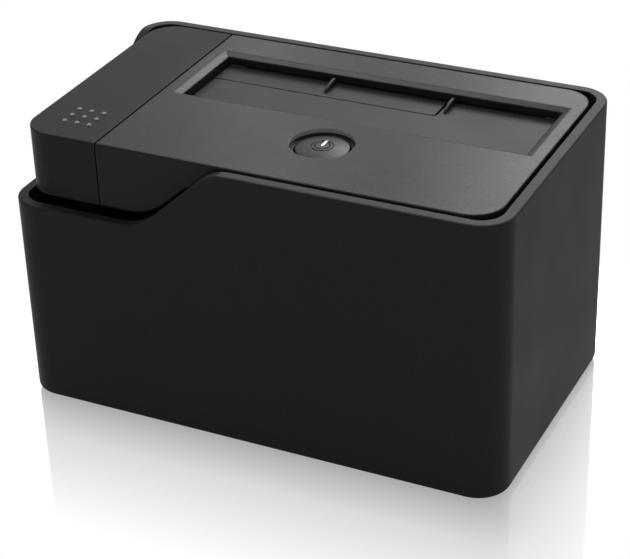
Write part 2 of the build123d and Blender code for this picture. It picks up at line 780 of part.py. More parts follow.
def door_area(grow, side_grow):
    """Outline of the small door, made larger all round by grow and at its right by side_grow."""
    with BuildSketch(Plane.XY.offset(flap_bottom)) as area:
        x_span = (flap_left - grow, door_right + side_grow)
        y_span = (door_front - grow, hinge_y + grow)
        with Locations((sum(x_span) / 2, sum(y_span) / 2)):
            Rectangle(x_span[1] - x_span[0], y_span[1] - y_span[0])
        fillet(area.vertices().group_by(Axis.X)[-1].sort_by(Axis.Y)[0], door_corner + grow)
    return area.sketch


def fin(x):
    """Curved fin on a flap, highest at the hinge side."""
    with BuildSketch(Plane.YZ.offset(x - fin_thickness / 2)) as side:
        with BuildLine():
            Line((fin_back, flap_top), (fin_back, flap_top + fin_height))
            EllipticalCenterArc((fin_back, flap_top), fin_length, fin_height, start_angle=90, arc_size=90)
            Line((fin_back - fin_length, flap_top), (fin_back, flap_top))
        make_face()
    extrude(side.sketch, amount=fin_thickness)


def hinge(barrel):
    """Barrel of a flap on the hinge rod, and the flap's edge cut back beside it."""
    bar_along_x(barrel, hinge_y, hinge_z, barrel_radius)
    bar_along_x((slot_left - lip_wall, barrel[0]), hinge_y, hinge_z, hinge_relief, Mode.SUBTRACT)
    bar_along_x((barrel[1], slot_right + lip_wall), hinge_y, hinge_z, hinge_relief, Mode.SUBTRACT)
    bar_along_x(barrel, hinge_y, hinge_z, rod_radius + shaft_clearance, Mode.SUBTRACT)


with BuildPart() as flap_small:
    extrude(door_area(0, 0), amount=flap_thickness)
    fin(door_fin_x)
    hinge(door_barrel)
    block((flap_left - toe_reach, flap_left + toe_depth), (door_toe_y, door_toe_y + door_toe_length),
          (toe_top - flap_thickness, toe_top))
    block((flap_left, flap_left + toe_depth), (door_toe_y, door_toe_y + door_toe_length),
          (toe_top, flap_bottom))
finish(flap_small, "flap_small")

with BuildPart() as flap_large:
    flap_plane = Plane.XY.offset(flap_bottom)
    with BuildSketch(flap_plane) as flap_area:
        with Locations(((flap_left + flap_right) / 2, (flap_front + hinge_y) / 2)):
            Rectangle(flap_right - flap_left, hinge_y - flap_front)
    extrude(amount=flap_thickness)
    extrude(door_area(door_gap, door_side_gap), amount=flap_thickness, mode=Mode.SUBTRACT)
    fin(large_fin_x)
    hinge(large_barrel)
    rib_front = flap_front + toe_depth
    for x in (large_barrel[0], large_barrel[1] - rib_width):
        block((x, x + rib_width), (rib_front, hinge_y - hinge_relief),
              (flap_bottom - rib_depth, flap_bottom))
    block((flap_left + toe_depth, flap_right - toe_depth), (rib_front, rib_front + rib_width),
          (flap_bottom - rib_depth, flap_bottom))
    for x in toe_xs:
        block(about(x, toe_width), (flap_front - toe_reach, flap_front + toe_depth),
              (toe_top - flap_thickness, toe_top))
        block(about(x, toe_width), (flap_front, flap_front + toe_depth), (toe_top, flap_bottom))
finish(flap_large, "flap_large")

with BuildPart() as flap_rod:
    bar_along_x((ear_spans[0][0], ear_spans[2][1]), hinge_y, hinge_z, rod_radius)
finish(flap_rod, "flap_rod")

for spring_name, spring_start in (
    ("flap_small_spring", flap_left + running_gap / 2),
    ("flap_large_spring", flap_right - flap_spring_length + running_gap / 2),
):
    with BuildPart() as flap_spring:
        upright = coil((0, 0), 0, flap_spring_length - running_gap, flap_spring_radius, flap_spring_wire,
                       flap_spring_turns)
        add(upright.moved(Location((spring_start, hinge_y, hinge_z), (0, 90, 0))))
    finish(flap_spring, spring_name)

# Power button: a domed round cap with a generic power ring, a light bar and a tact switch under it
cap_under_top = 0.5
cap_dome = 0.8
cap_round = 0.3
cap_wall = 1.6
cap_flange_radius = 9.0
cap_flange = 1.1
ring_outer = 2.95
ring_inner = 2.3
ring_groove = 0.35
ring_opening = 2.2
ring_depth = 0.5
light_bar_width = 0.7
light_bar_length = 3.9
light_bar_lead = 0.3
light_stem_gap = 1.2
switch_board_thickness = 1.2
switch_size = 6.0
switch_height = 3.5
switch_from_middle = 4.6
plunger_radius = 1.6
plunger_height = 1.6
plunger_hole = 2.0
led_height = 0.8
led_size = 3.0
board_boss_margin = 3.0
switch_board_depth = 15.0

cap_top = height - cap_under_top
cap_bottom = power_under - running_gap
cap_inside = cap_top - cap_wall
switch_x = power_x + switch_from_middle
switch_top = switch_board_top + switch_height
plunger_top = switch_top + plunger_height
dome_sphere = sphere_radius(power_radius, cap_dome)
light_y = (power_y - light_bar_lead, power_y - light_bar_lead + light_bar_length)
led_top = switch_board_top + led_height


def ring_band(grow):
    """Outline of the power ring, open at the back for the light bar, made larger all round by grow."""
    with BuildSketch(Plane.XY.offset(cap_top)) as band:
        with Locations((power_x, power_y)):
            Circle(ring_outer + grow)
            Circle(ring_inner - grow, mode=Mode.SUBTRACT)
        with Locations((power_x, power_y + ring_outer)):
            Rectangle(ring_opening - 2 * grow, ring_outer, mode=Mode.SUBTRACT)
    return band.sketch


with BuildPart() as power_button:
    with BuildSketch(Plane.XZ) as cap_half:
        with BuildLine():
            dome = JernArc((0, cap_top), (1, 0), dome_sphere, -degrees(asin(power_radius / dome_sphere)))
            Polyline(dome @ 1, (power_radius, cap_bottom), (0, cap_bottom), (0, cap_top))
        make_face()
        fillet(cap_half.vertices().group_by(Axis.X)[-1].sort_by(Axis.Y)[-1], cap_round)
    cap = revolve(cap_half.sketch, Axis.Z, mode=Mode.PRIVATE)
    add(cap.moved(Location((power_x, power_y, 0))))
    column(power_x, power_y, (cap_bottom - cap_flange, cap_bottom), cap_flange_radius)
    column(power_x, power_y, (cap_bottom - cap_flange, cap_inside), power_radius - cap_wall, Mode.SUBTRACT)
    block(about(switch_x, plunger_radius), about(power_y, cap_wall), (plunger_top, cap_inside))
    block(about(power_x, light_bar_width + 2 * cap_wall), (light_y[0] - cap_wall, light_y[1] + cap_wall),
          (cap_bottom, cap_inside))
    extrude(ring_band(ring_groove) - ring_band(0), amount=-ring_depth, mode=Mode.SUBTRACT)
    block(about(power_x, light_bar_width), light_y, (cap_bottom, cap_top), Mode.SUBTRACT)
finish(power_button, "power_button")

with BuildPart() as power_light_bar:
    block(about(power_x, light_bar_width), light_y, (led_top + light_stem_gap, cap_top))
finish(power_light_bar, "power_light_bar")

with BuildPart() as switch_board:
    board_x = (board_boss_places[0][0] - board_boss_margin, board_boss_places[1][0] + board_boss_margin)
    block(board_x, about(power_y, switch_board_depth),
          (switch_board_top - switch_board_thickness, switch_board_top))
    for x, y in board_boss_places:
        column(x, y, (switch_board_top - switch_board_thickness, switch_board_top),
               screw_radius + screw_clearance, Mode.SUBTRACT)
finish(switch_board, "switch_board")

with BuildPart() as switch_board_screws:
    screws(board_boss_places, switch_board_top - switch_board_thickness, screw_length, False)
finish(switch_board_screws, "switch_board_screws")

with BuildPart() as tact_switch:
    block(about(switch_x, switch_size), about(power_y, switch_size), (switch_board_top, switch_top))
    column(switch_x, power_y, (switch_top - plunger_hole, switch_top), plunger_radius + shaft_clearance,
           Mode.SUBTRACT)
finish(tact_switch, "tact_switch")

with BuildPart() as switch_plunger:
    column(switch_x, power_y, (switch_top - plunger_hole + power_travel + running_gap, plunger_top),
           plunger_radius)
finish(switch_plunger, "switch_plunger")

with BuildPart() as power_led:
    block(about(power_x - led_size / 3, led_size / 2), about(sum(light_y) / 2, led_size),
          (switch_board_top, led_top))
finish(power_led, "power_led")

# Main board, its sockets and its parts
with BuildPart() as main_board:
    block((board_left, board_right), (board_front, board_back), (board_bottom, board_top))
    fillet(main_board.edges().filter_by(Axis.Z), stand_from_edge / 2)
    for x, y in stand_places:
        column(x, y, (board_bottom, board_top), screw_radius + screw_clearance, Mode.SUBTRACT)
finish(main_board, "main_board")

with BuildPart() as board_screws:
    screws(stand_places, board_top, board_thickness + board_stand - overrun, True)
finish(board_screws, "board_screws")

# Upright connector that the drive is pushed onto: two keyed slots between guide horns
signal_slot = 10.6
power_slot = 20.8
slots_apart = 2.6
contact_slot_width = 2.4
key_size = 1.2
contact_slot_depth = 5.5
horn_height = 1.6
horn_width = 2.2
contact_pitch = 1.27
contact_width = 0.6
contact_thickness = 0.25
signal_contacts = 7
power_contacts = 15

slots_left = sata_x - (signal_slot + slots_apart + power_slot) / 2
signal_x = (slots_left, slots_left + signal_slot)
power_slot_x = (signal_x[1] + slots_apart, signal_x[1] + slots_apart + power_slot)
slot_y = about(sata_y, contact_slot_width)

with BuildPart() as sata_connector:
    block(about(sata_x, sata_length), about(sata_y, sata_depth), (board_top, sata_top - horn_height))
    for side in (-1, 1):
        block(about(sata_x + side * (sata_length - horn_width) / 2, horn_width), about(sata_y, sata_depth),
              (sata_top - horn_height, sata_top))
    fillet(sata_connector.edges().filter_by(Axis.Y).group_by(Axis.Z)[-1], horn_width / 3)
    for span in (signal_x, power_slot_x):
        slot_z = (sata_top - horn_height - contact_slot_depth, sata_top - horn_height)
        block(span, slot_y, slot_z, Mode.SUBTRACT)
        block((span[1] - key_size, span[1]), (slot_y[0] - key_size, slot_y[0]), slot_z, Mode.SUBTRACT)
finish(sata_connector, "sata_connector")

with BuildPart() as sata_contacts:
    for span, count in ((signal_x, signal_contacts), (power_slot_x, power_contacts)):
        first = sum(span) / 2 - contact_pitch * (count - 1) / 2
        for index in range(count):
            block(about(first + index * contact_pitch, contact_width),
                  (slot_y[1] - contact_thickness, slot_y[1]),
                  (sata_top - horn_height - contact_slot_depth, sata_top - horn_height - contact_thickness))
finish(sata_contacts, "sata_contacts")

# Sockets at the rear: square USB, flat eSATA and round power jack
socket_wall = 0.5
usb_tongue_width = 5.6
usb_tongue_height = 3.2
usb_cavity_depth = 10.0
usb_cavity_corner = 1.6
esata_wall = 1.2
esata_tongue = 1.2
esata_cavity_depth = 8.0
jack_bore_radius = 3.2
jack_pin_radius = 1.05
jack_bore_depth = 9.5
jack_pin_inset = 0.8

usb_z = board_top + usb_height / 2
esata_z = board_top + esata_height / 2

with BuildPart() as usb_port:
    block(about(usb_x, usb_width), (port_face - usb_length, port_face), (board_top, board_top + usb_height))
    with BuildSketch(Plane.XZ.offset(-port_face)) as usb_mouth:
        with Locations((usb_x, usb_z)):
            Rectangle(usb_width - 4 * socket_wall - 2 * seam, usb_height - 4 * socket_wall - 2 * seam)
        chamfer(usb_mouth.vertices().group_by(Axis.Y)[-1], usb_cavity_corner)
        with Locations((usb_x, usb_z)):
            Rectangle(usb_tongue_width, usb_tongue_height, mode=Mode.SUBTRACT)
    extrude(amount=usb_cavity_depth, mode=Mode.SUBTRACT)
finish(usb_port, "usb_port")

with BuildPart() as esata_port:
    block(about(esata_x, esata_width), (port_face - esata_length, port_face),
          (board_top, board_top + esata_height))
    with BuildSketch(Plane.XZ.offset(-port_face)) as esata_mouth:
        with Locations((esata_x, esata_z)):
            Rectangle(esata_width - 2 * esata_wall, esata_height - 2 * esata_wall)
            Rectangle(signal_slot, esata_tongue, mode=Mode.SUBTRACT)
    extrude(amount=esata_cavity_depth, mode=Mode.SUBTRACT)
finish(esata_port, "esata_port")

with BuildPart() as dc_jack:
    block(about(jack_x, jack_width), (inner_back - seat_gap - jack_length, inner_back - seat_gap),
          (board_top, jack_z + jack_width / 2))
    bar_along_y(jack_x, (inner_back - seat_gap, port_face), jack_z, jack_nose_radius)
    bar_along_y(jack_x, (port_face - jack_bore_depth, port_face), jack_z, jack_bore_radius, Mode.SUBTRACT)
    bar_along_y(jack_x, (port_face - jack_bore_depth, port_face - jack_pin_inset), jack_z, jack_pin_radius)
finish(dc_jack, "dc_jack")

# Parts soldered to the main board, under the bay; the shares run from its left front corner
bridge_size = 12.0
bridge_height = 1.4
bridge_shares = (0.79, 0.35)
regulator_size = (6.5, 3.6)
regulator_height = 1.7
regulator_shares = (0.91, 0.66)
crystal_size = (11.0, 4.6)
crystal_height = 3.6
crystal_shares = (0.60, 0.31)
inductor_size = 9.0
inductor_height = 4.4
inductor_shares = (0.76, 0.63)
capacitor_radius = 3.15
capacitor_height = 7.0
capacitor_pitch = 8.5
capacitor_shares = (0.92, 0.36)
chip_edge = 0.3
capacitor_base = 1.0


def on_board(shares):
    """Place on the main board, as shares of its width and depth."""
    return (board_left + shares[0] * (board_right - board_left),
            board_front + shares[1] * (board_back - board_front))


with BuildPart() as bridge_chip:
    bridge_place = on_board(bridge_shares)
    block(about(bridge_place[0], bridge_size), about(bridge_place[1], bridge_size),
          (board_top, board_top + bridge_height))
    chamfer(bridge_chip.faces().sort_by(Axis.Z)[-1].edges(), chip_edge)
finish(bridge_chip, "bridge_chip")

with BuildPart() as regulator_chip:
    regulator_place = on_board(regulator_shares)
    block(about(regulator_place[0], regulator_size[0]), about(regulator_place[1], regulator_size[1]),
          (board_top, board_top + regulator_height))
    chamfer(regulator_chip.faces().sort_by(Axis.Z)[-1].edges(), chip_edge)
finish(regulator_chip, "regulator_chip")

with BuildPart() as crystal:
    with BuildSketch(Plane.XY.offset(board_top)) as crystal_area:
        with Locations(on_board(crystal_shares)):
            SlotOverall(*crystal_size)
    extrude(amount=crystal_height)
    fillet(crystal.faces().sort_by(Axis.Z)[-1].edges(), chip_edge)
finish(crystal, "crystal")

with BuildPart() as power_inductor:
    inductor_place = on_board(inductor_shares)
    inductor_plane = Plane.XY.offset(board_top)
    inductor_area = rounded_area(inductor_plane, about(inductor_place[0], inductor_size),
                                 about(inductor_place[1], inductor_size), inductor_size / 4)
    extrude(inductor_area, amount=inductor_height)
    chamfer(power_inductor.faces().sort_by(Axis.Z)[-1].edges(), chip_edge)
finish(power_inductor, "power_inductor")

with BuildPart() as capacitors:
    capacitor_x, capacitor_middle = on_board(capacitor_shares)
    for step in (-1, 0, 1):
        y = capacitor_middle + step * capacitor_pitch
        block(about(capacitor_x, 2 * capacitor_radius), about(y, 2 * capacitor_radius),
              (board_top, board_top + capacitor_base))
        column(capacitor_x, y, (board_top + capacitor_base, board_top + capacitor_height), capacitor_radius)
finish(capacitors, "capacitors")

# Flat cable from the switch board down to the main board, with its two plugs
cable_width = 5.0
cable_thickness = 0.9
cable_bend = 3.0
plug_width = 7.5
plug_depth = 4.0
plug_height = 4.0
cable_from_board_edge = 4.0

cable_x = power_x
cable_top = switch_board_top - switch_board_thickness - plug_height
cable_high_y = power_y
cable_low_y = board_front + cable_from_board_edge
cable_bottom = board_top + plug_height

with BuildPart() as cable_plugs:
    block(about(cable_x, plug_width), about(cable_high_y, plug_depth), (cable_top, cable_top + plug_height))
    block(about(cable_x, plug_width), about(cable_low_y, plug_depth), (board_top, cable_bottom))
finish(cable_plugs, "cable_plugs")

with BuildPart() as switch_cable:
    cable_middle = (cable_top + cable_bottom) / 2
    with BuildLine(Plane.YZ.offset(cable_x)) as cable_path:
        FilletPolyline((cable_high_y, cable_top), (cable_high_y, cable_middle + cable_bend),
                       (cable_low_y, cable_middle - cable_bend), (cable_low_y, cable_bottom),
                       radius=cable_bend)
    with BuildSketch(Plane.XY.offset(cable_top)) as cable_section:
        with Locations((cable_x, cable_high_y)):
            Rectangle(cable_width, cable_thickness)
    sweep(path=cable_path.wire())
finish(switch_cable, "switch_cable")
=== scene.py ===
from collections import namedtuple
import math

import bpy
from mathutils import Matrix, Vector


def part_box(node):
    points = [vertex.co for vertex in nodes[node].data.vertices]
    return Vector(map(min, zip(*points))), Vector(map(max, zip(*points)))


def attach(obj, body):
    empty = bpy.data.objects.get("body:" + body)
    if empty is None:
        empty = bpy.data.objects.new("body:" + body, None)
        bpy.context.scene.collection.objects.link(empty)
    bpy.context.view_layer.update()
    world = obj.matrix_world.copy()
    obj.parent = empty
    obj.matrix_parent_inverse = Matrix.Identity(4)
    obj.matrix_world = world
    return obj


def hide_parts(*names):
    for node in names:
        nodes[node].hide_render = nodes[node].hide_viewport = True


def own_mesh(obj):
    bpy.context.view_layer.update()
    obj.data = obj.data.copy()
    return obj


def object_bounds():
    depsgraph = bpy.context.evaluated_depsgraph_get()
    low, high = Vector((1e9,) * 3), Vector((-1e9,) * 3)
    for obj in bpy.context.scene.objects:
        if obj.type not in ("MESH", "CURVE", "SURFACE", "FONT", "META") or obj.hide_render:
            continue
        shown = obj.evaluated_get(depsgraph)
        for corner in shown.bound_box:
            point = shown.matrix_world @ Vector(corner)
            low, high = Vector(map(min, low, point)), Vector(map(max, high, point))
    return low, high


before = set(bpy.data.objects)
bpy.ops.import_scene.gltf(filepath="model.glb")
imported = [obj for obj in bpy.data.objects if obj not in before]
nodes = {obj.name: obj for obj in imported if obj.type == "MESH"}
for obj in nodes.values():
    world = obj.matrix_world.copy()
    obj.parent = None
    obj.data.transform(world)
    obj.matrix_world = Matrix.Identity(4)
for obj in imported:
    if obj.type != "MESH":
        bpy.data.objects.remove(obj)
cad_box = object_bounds()
scene = bpy.context.scene

# A hard drive docking station on a white table. Lengths are in metres: x goes right, y back and z up
MM = 0.001

# Camera: its place, its angles in radians (from +y towards +x, down, and rolled), and its lens in mm
CAMERA_PLACE = Vector((0.2271, -0.4553, 0.3245))
CAMERA_YAW = -0.4630
CAMERA_PITCH = 0.5227
CAMERA_ROLL = -0.0346
SENSOR_WIDTH = 36.0
LENS = 113.88
CLIP_START = 10 * MM

# Light: the world's strength on the object, and each softbox's place, aim, width and height, and watts
WHITE = (1.0, 1.0, 1.0, 1.0)
WORLD_STRENGTH = 0.65
SOFTBOX_AIM = (0.0, 0.0, 0.08)
TOP_SOFTBOX_AIM = (0.0, 0.03, 0.08)
SOFTBOXES = {
    "right_softbox": ((-0.04, 1.40, 1.16), SOFTBOX_AIM, (0.98, 0.80), 29.0),
    "left_softbox": ((-0.90, 1.40, 1.12), SOFTBOX_AIM, (0.70, 0.80), 1.2),
    "strip_softbox": ((-0.75, 1.39, 1.08), SOFTBOX_AIM, (0.08, 0.80), 0.9),
    "top_softbox": ((-0.46, 0.33, 1.15), TOP_SOFTBOX_AIM, (0.40, 0.40), 6.5),
}

# Table: the plane, and its surface as it is lit, which shows fully under the dock and in bounced light
TABLE_HALF = 4.0
TABLE_DROP = 0.1 * MM
TABLE_COLOUR = (0.95, 0.95, 0.95, 1.0)
TABLE_ROUGHNESS = 0.30
TABLE_SPECULAR = 0.5

# The part under the dock ends FOOT_INSET inside the dock's outline, whose corners have the radius FOOT_CORNER
FOOT_CORNER = 9.5 * MM
FOOT_INSET = 2.8 * MM

# Round the dock: how much of the lit surface shows at the outline, as a shade, and where it ends. Then the
# dock's mirror image, which fades out over its reach
SHADE_SHARE = 0.3
SHADE_TO = 16 * MM
MIRROR_SHARE = 0.44
MIRROR_REACH_SIDE = 36 * MM
MIRROR_REACH_FRONT = 51 * MM
MIRROR_ROUGHNESS = 0.04

# More than any height here, for boxes and reaches in which height doesn't count
TALL = 1.0

# Outside: colours of the plastics, and the radii that make their sharp edges look moulded
SHELL_COLOUR = (0.0150, 0.0150, 0.0151)
COVER_COLOUR = (0.0118, 0.0118, 0.0120)
BUTTON_COLOUR = (0.0145, 0.0145, 0.0147)
EDGE_ROUND = 0.25 * MM
SOFT_EDGE_ROUND = 0.8 * MM

# Painted light: the shell's upper rim, the wall of the power button's well and the dots on the eject button
# are painted paler, as painted highlights on rim and dots and a painted reflection on the wall.
# Rim and well reach this far down from the cover's top, and the dots stand at least DOT_LEAST over it
RIM_HIGHLIGHT_COLOUR = (0.034, 0.034, 0.034)
RIM_HIGHLIGHT_DEPTH = 0.55 * MM
WELL_REFLECTION_COLOUR = (0.20, 0.20, 0.20)
WELL_REFLECTION_DEPTH = 1.15 * MM
WELL_REFLECTION_RADIUS = 9.3 * MM
DOT_HIGHLIGHT_COLOUR = (0.20, 0.20, 0.20)
DOT_LEAST = 0.08 * MM

# The light bar is lit from its front end, over this length and width
LIT_LENGTH = 2.9 * MM
LIT_WIDTH = 0.5 * MM

# Sockets: half the sizes of the two dark tongues, and the jack's pin
USB_TONGUE_HALF = (2.8 * MM, 9.0 * MM, 1.6 * MM)
ESATA_TONGUE_HALF = (5.3 * MM, 9.0 * MM, 0.6 * MM)
JACK_PIN_RADIUS = 1.15 * MM
JACK_AXIS_OVER_BOARD = 6.0 * MM

# Blender's noise keeps mostly between these two, and its wave texture has this period at scale 1
NOISE_LOW = 0.3
NOISE_HIGH = 0.7
WAVE_PERIOD = math.tau / 20

# Rays by which the shader finds the edges that it softens
BEVEL_SAMPLES = 4

# Painted light on a plastic: a spot in another colour, painted paler where light falls, and another
# roughness. find, called with the finish, is 1 there
PaintedLightPatch = namedtuple("PaintedLightPatch", "find colour roughness")


class Nodes:
    """A node tree, with short calls for the nodes that the materials and the world share."""

    def __init__(self, tree):
        self.tree = tree

    def add(self, kind, inputs=None, **settings):
        """A new node with its settings and the values of its inputs."""
        node = self.tree.nodes.new("ShaderNode" + kind)
        for key, value in settings.items():
            setattr(node, key, value)
        for key, value in (inputs or {}).items():
            node.inputs[key].default_value = value
        return node

    def link(self, source, target):
        self.tree.links.new(source, target)

    def span(self, source, low, high, first, last):
        """Maps source between low and high to values from first to last."""
        span = self.add("MapRange", {"From Min": low, "From Max": high, "To Min": first, "To Max": last})
        self.link(source, span.inputs["Value"])
        return span.outputs["Result"]

    def scalar_math(self, operation, first, second):
        """One operation on two values, each a number or a socket."""
        node = self.add("Math", operation=operation)
        for socket, value in zip(node.inputs, (first, second)):
            if isinstance(value, float):
                socket.default_value = value
            else:
                self.link(value, socket)
        return node.outputs["Value"]

    def vector_math(self, operation, first, second=None):
        """One operation on a socket and, where it takes two, a fixed vector."""
        node = self.add("VectorMath", operation=operation)
        self.link(first, node.inputs[0])
        if second is not None:
            node.inputs[1].default_value = second
        return node.outputs["Value" if operation == "LENGTH" else "Vector"]

    def coordinates(self, vector):
        """The x, y and z of a vector's socket."""
        parts = self.add("SeparateXYZ")
        self.link(vector, parts.inputs["Vector"])
        return parts.outputs["X"], parts.outputs["Y"], parts.outputs["Z"]

    def mixed(self, share, first, second):
        """The first shader, with share of the second in it."""
        mix = self.add("MixShader")
        for socket, source in zip(mix.inputs, (share, first, second)):
            self.link(source, socket)
        return mix.outputs["Shader"]

    def seen_ray(self):
        """1 for a ray of the camera, or one that shows the surroundings in a gloss or through glass."""
        path = self.add("LightPath")
        seen = self.scalar_math("MAXIMUM", path.outputs["Is Camera Ray"], path.outputs["Is Glossy Ray"])
        return self.scalar_math("MAXIMUM", seen, path.outputs["Is Transmission Ray"])


class Finish(Nodes):
    """A material that is being built. Its patterns and masks keep to the object's own coordinates."""

    def __init__(self, name, **values):
        self.material = bpy.data.materials.new(name)
        self.material.use_nodes = True
        super().__init__(self.material.node_tree)
        self.shader = self.tree.nodes["Principled BSDF"]
        self.output = self.tree.nodes["Material Output"]
        self.place = self.add("TexCoord").outputs["Object"]
        for key, value in values.items():
            self.shader.inputs[key.replace("_", " ")].default_value = value

    def drive(self, name, source):
        """Lets source set one input of the shader."""
        self.link(source, self.shader.inputs[name])

    def noise(self, scale, detail=2.0, roughness=0.5, stretch=(1.0, 1.0, 1.0)):
        """Noise of scale cells to the metre, drawn out by stretch."""
        mapping = self.add("Mapping", {"Scale": stretch})
        noise = self.add("TexNoise", {"Scale": scale, "Detail": detail, "Roughness": roughness})
        self.link(self.place, mapping.inputs["Vector"])
        self.link(mapping.outputs["Vector"], noise.inputs["Vector"])
        return noise.outputs["Fac"]

    def span_noise(self, noise, first, last):
        """Maps the usual range of a noise to values from first to last."""
        return self.span(noise, NOISE_LOW, NOISE_HIGH, first, last)

    def blend(self, source, first, second):
        """A colour between first and second, each a colour or a socket, as source goes from 0 to 1."""
        mix = self.add("Mix", data_type="RGBA")
        for socket, colour in ((mix.inputs["A"], first), (mix.inputs["B"], second)):
            if isinstance(colour, tuple):
                socket.default_value = (*colour, 1.0)
            else:
                self.link(colour, socket)
        self.link(source, mix.inputs["Factor"])
        return mix.outputs["Result"]

    def bump(self, height, depth, strength=0.35, edge_round=None):
        """Bumps of that depth; edge_round also softens the look of sharp edges."""
        bump = self.add("Bump", {"Strength": strength, "Distance": depth})
        self.link(height, bump.inputs["Height"])
        if edge_round:
            bevel = self.add("Bevel", {"Radius": edge_round}, samples=BEVEL_SAMPLES)
            self.link(bevel.outputs["Normal"], bump.inputs["Normal"])
        self.drive("Normal", bump.outputs["Normal"])

    def in_box(self, middle, half):
        """1 inside the box round middle, 0 outside."""
        offset = self.vector_math("SUBTRACT", self.place, tuple(middle))
        share = self.vector_math("DIVIDE", self.vector_math("ABSOLUTE", offset), half)
        x, y, z = self.coordinates(share)
        widest = self.scalar_math("MAXIMUM", self.scalar_math("MAXIMUM", x, y), z)
        return self.scalar_math("LESS_THAN", widest, 1.0)

    def past_box(self, half):
        """How far a place lies outside the box round the origin, along each axis."""
        away = self.vector_math("SUBTRACT", self.vector_math("ABSOLUTE", self.place), half)
        return self.vector_math("MAXIMUM", away, (0.0, 0.0, 0.0))

    def over_plane(self, height):
        """1 above the level plane at that height, 0 below."""
        _, _, z = self.coordinates(self.place)
        return self.scalar_math("GREATER_THAN", z, height)

    def near_line(self, point, across, radius):
        """1 within radius of the line through point; across is 0 on the line's axis and 1 on the others."""
        offset = self.vector_math("SUBTRACT", self.place, tuple(point))
        distance = self.vector_math("LENGTH", self.vector_math("MULTIPLY", offset, across))
        return self.scalar_math("LESS_THAN", distance, radius)


def shaded(colour, share):
    """The colour, darker or lighter by share."""
    return tuple(channel * share for channel in colour)


def moulded_plastic(name, colour, roughness=0.42, specular=0.3, grain=1900.0, depth=0.08 * MM, speckle=0.12,
                    cloudiness=0.03, edge_round=None, painted_light=None):
    """Moulded plastic: a fine spark-eroded grain, a faint speckle and a slightly cloudy gloss, and where
    given, a spot of painted light in another colour and roughness.
    """
    made = Finish(name, Specular_IOR_Level=specular)
    fine = made.noise(grain, detail=3.0, roughness=0.6)
    cloud = made.noise(scale=45.0)
    fleck = made.span_noise(fine, 0.0, 1.0)
    skin = made.blend(fleck, shaded(colour, 1 - speckle), shaded(colour, 1 + speckle))
    dullness = made.span_noise(cloud, roughness - cloudiness, roughness + cloudiness)
    # Painted light: where the given mask is 1, the colour is painted paler for the light that falls there
    if painted_light:
        there = painted_light.find(made)
        skin = made.blend(there, skin, painted_light.colour)
        change = made.scalar_math("MULTIPLY", there, painted_light.roughness - roughness)
        dullness = made.scalar_math("ADD", dullness, change)
    made.drive("Base Color", skin)
    made.drive("Roughness", dullness)
    made.bump(fine, depth, edge_round=edge_round)
    return made.material


def metal(name, colour, roughness=0.3, scale=900.0, stretch=(1.0, 1.0, 1.0), wear=0.12, depth=0.01 * MM):
    """Metal stained in its colour, with streaks along its drawn or ground direction in gloss and relief."""
    made = Finish(name, Metallic=1.0)
    streak = made.noise(scale, detail=4.0, roughness=0.6, stretch=stretch)
    stain = made.noise(scale=120.0, detail=3.0)
    smoothest, roughest = roughness - 0.08, roughness + 0.1
    made.drive("Base Color", made.blend(stain, shaded(colour, 1 - wear), shaded(colour, 1 + wear / 2)))
    made.drive("Roughness", made.span_noise(streak, smoothest, roughest))
    made.bump(streak, depth, strength=0.25)
    return made.material


def rubber(name, colour):
    """Dull rubber with a coarse skin and patches of pale dust."""
    made = Finish(name, Specular_IOR_Level=0.25)
    skin = made.noise(scale=1400.0, detail=4.0, roughness=0.7)
    dust = made.noise(scale=300.0, detail=3.0)
    dusty = made.span(dust, low=0.45, high=0.75, first=0.0, last=1.0)
    made.drive("Base Color", made.blend(dusty, colour, shaded(colour, 2.2)))
    made.drive("Roughness", made.span_noise(skin, first=0.75, last=0.92))
    made.bump(skin, depth=0.05 * MM, strength=0.5)
    return made.material


def light_guide(name, middle, half, tint=(0.05, 0.05, 0.05), milk=(0.92, 0.92, 0.92)):
    """Milky light guide, lit inside the box round middle and tinted dark outside it."""
    made = Finish(name, Roughness=0.25, Emission_Color=WHITE)
    cloud = made.noise(scale=700.0, detail=2.0)
    lit = made.in_box(middle, half)
    made.drive("Base Color", made.blend(lit, tint, milk))
    glow = made.span_noise(cloud, first=0.9, last=1.1)
    made.drive("Emission Strength", made.scalar_math("MULTIPLY", lit, glow))
    made.bump(cloud, depth=0.01 * MM, strength=0.2)
    return made.material


def circuit_board(name, mask=(0.012, 0.085, 0.030), track=(0.030, 0.160, 0.060), tin=(0.62, 0.60, 0.52)):
    """Green solder mask over copper tracks, with tinned vias."""
    made = Finish(name)
    bricks = made.add("TexBrick", {
        "Color1": (*mask, 1.0), "Color2": (*shaded(mask, 0.75), 1.0), "Mortar": (*track, 1.0), "Scale": 1.0,
        "Mortar Size": 0.14 * MM, "Brick Width": 7.0 * MM, "Row Height": 1.3 * MM}, offset=0.37)
    made.link(made.place, bricks.inputs["Vector"])
    cells = made.add("TexVoronoi", {"Scale": 210.0, "Randomness": 1.0})
    made.link(made.place, cells.inputs["Vector"])
    share_of_cell = 0.09
    via = made.scalar_math("LESS_THAN", cells.outputs["Distance"], share_of_cell)
    made.drive("Base Color", made.blend(via, bricks.outputs["Color"], tin))
    made.drive("Metallic", via)
    gloss = made.noise(scale=500.0, detail=3.0)
    made.drive("Roughness", made.span_noise(gloss, first=0.28, last=0.42))
    made.bump(bricks.outputs["Fac"], depth=0.03 * MM, strength=0.4)
    return made.material


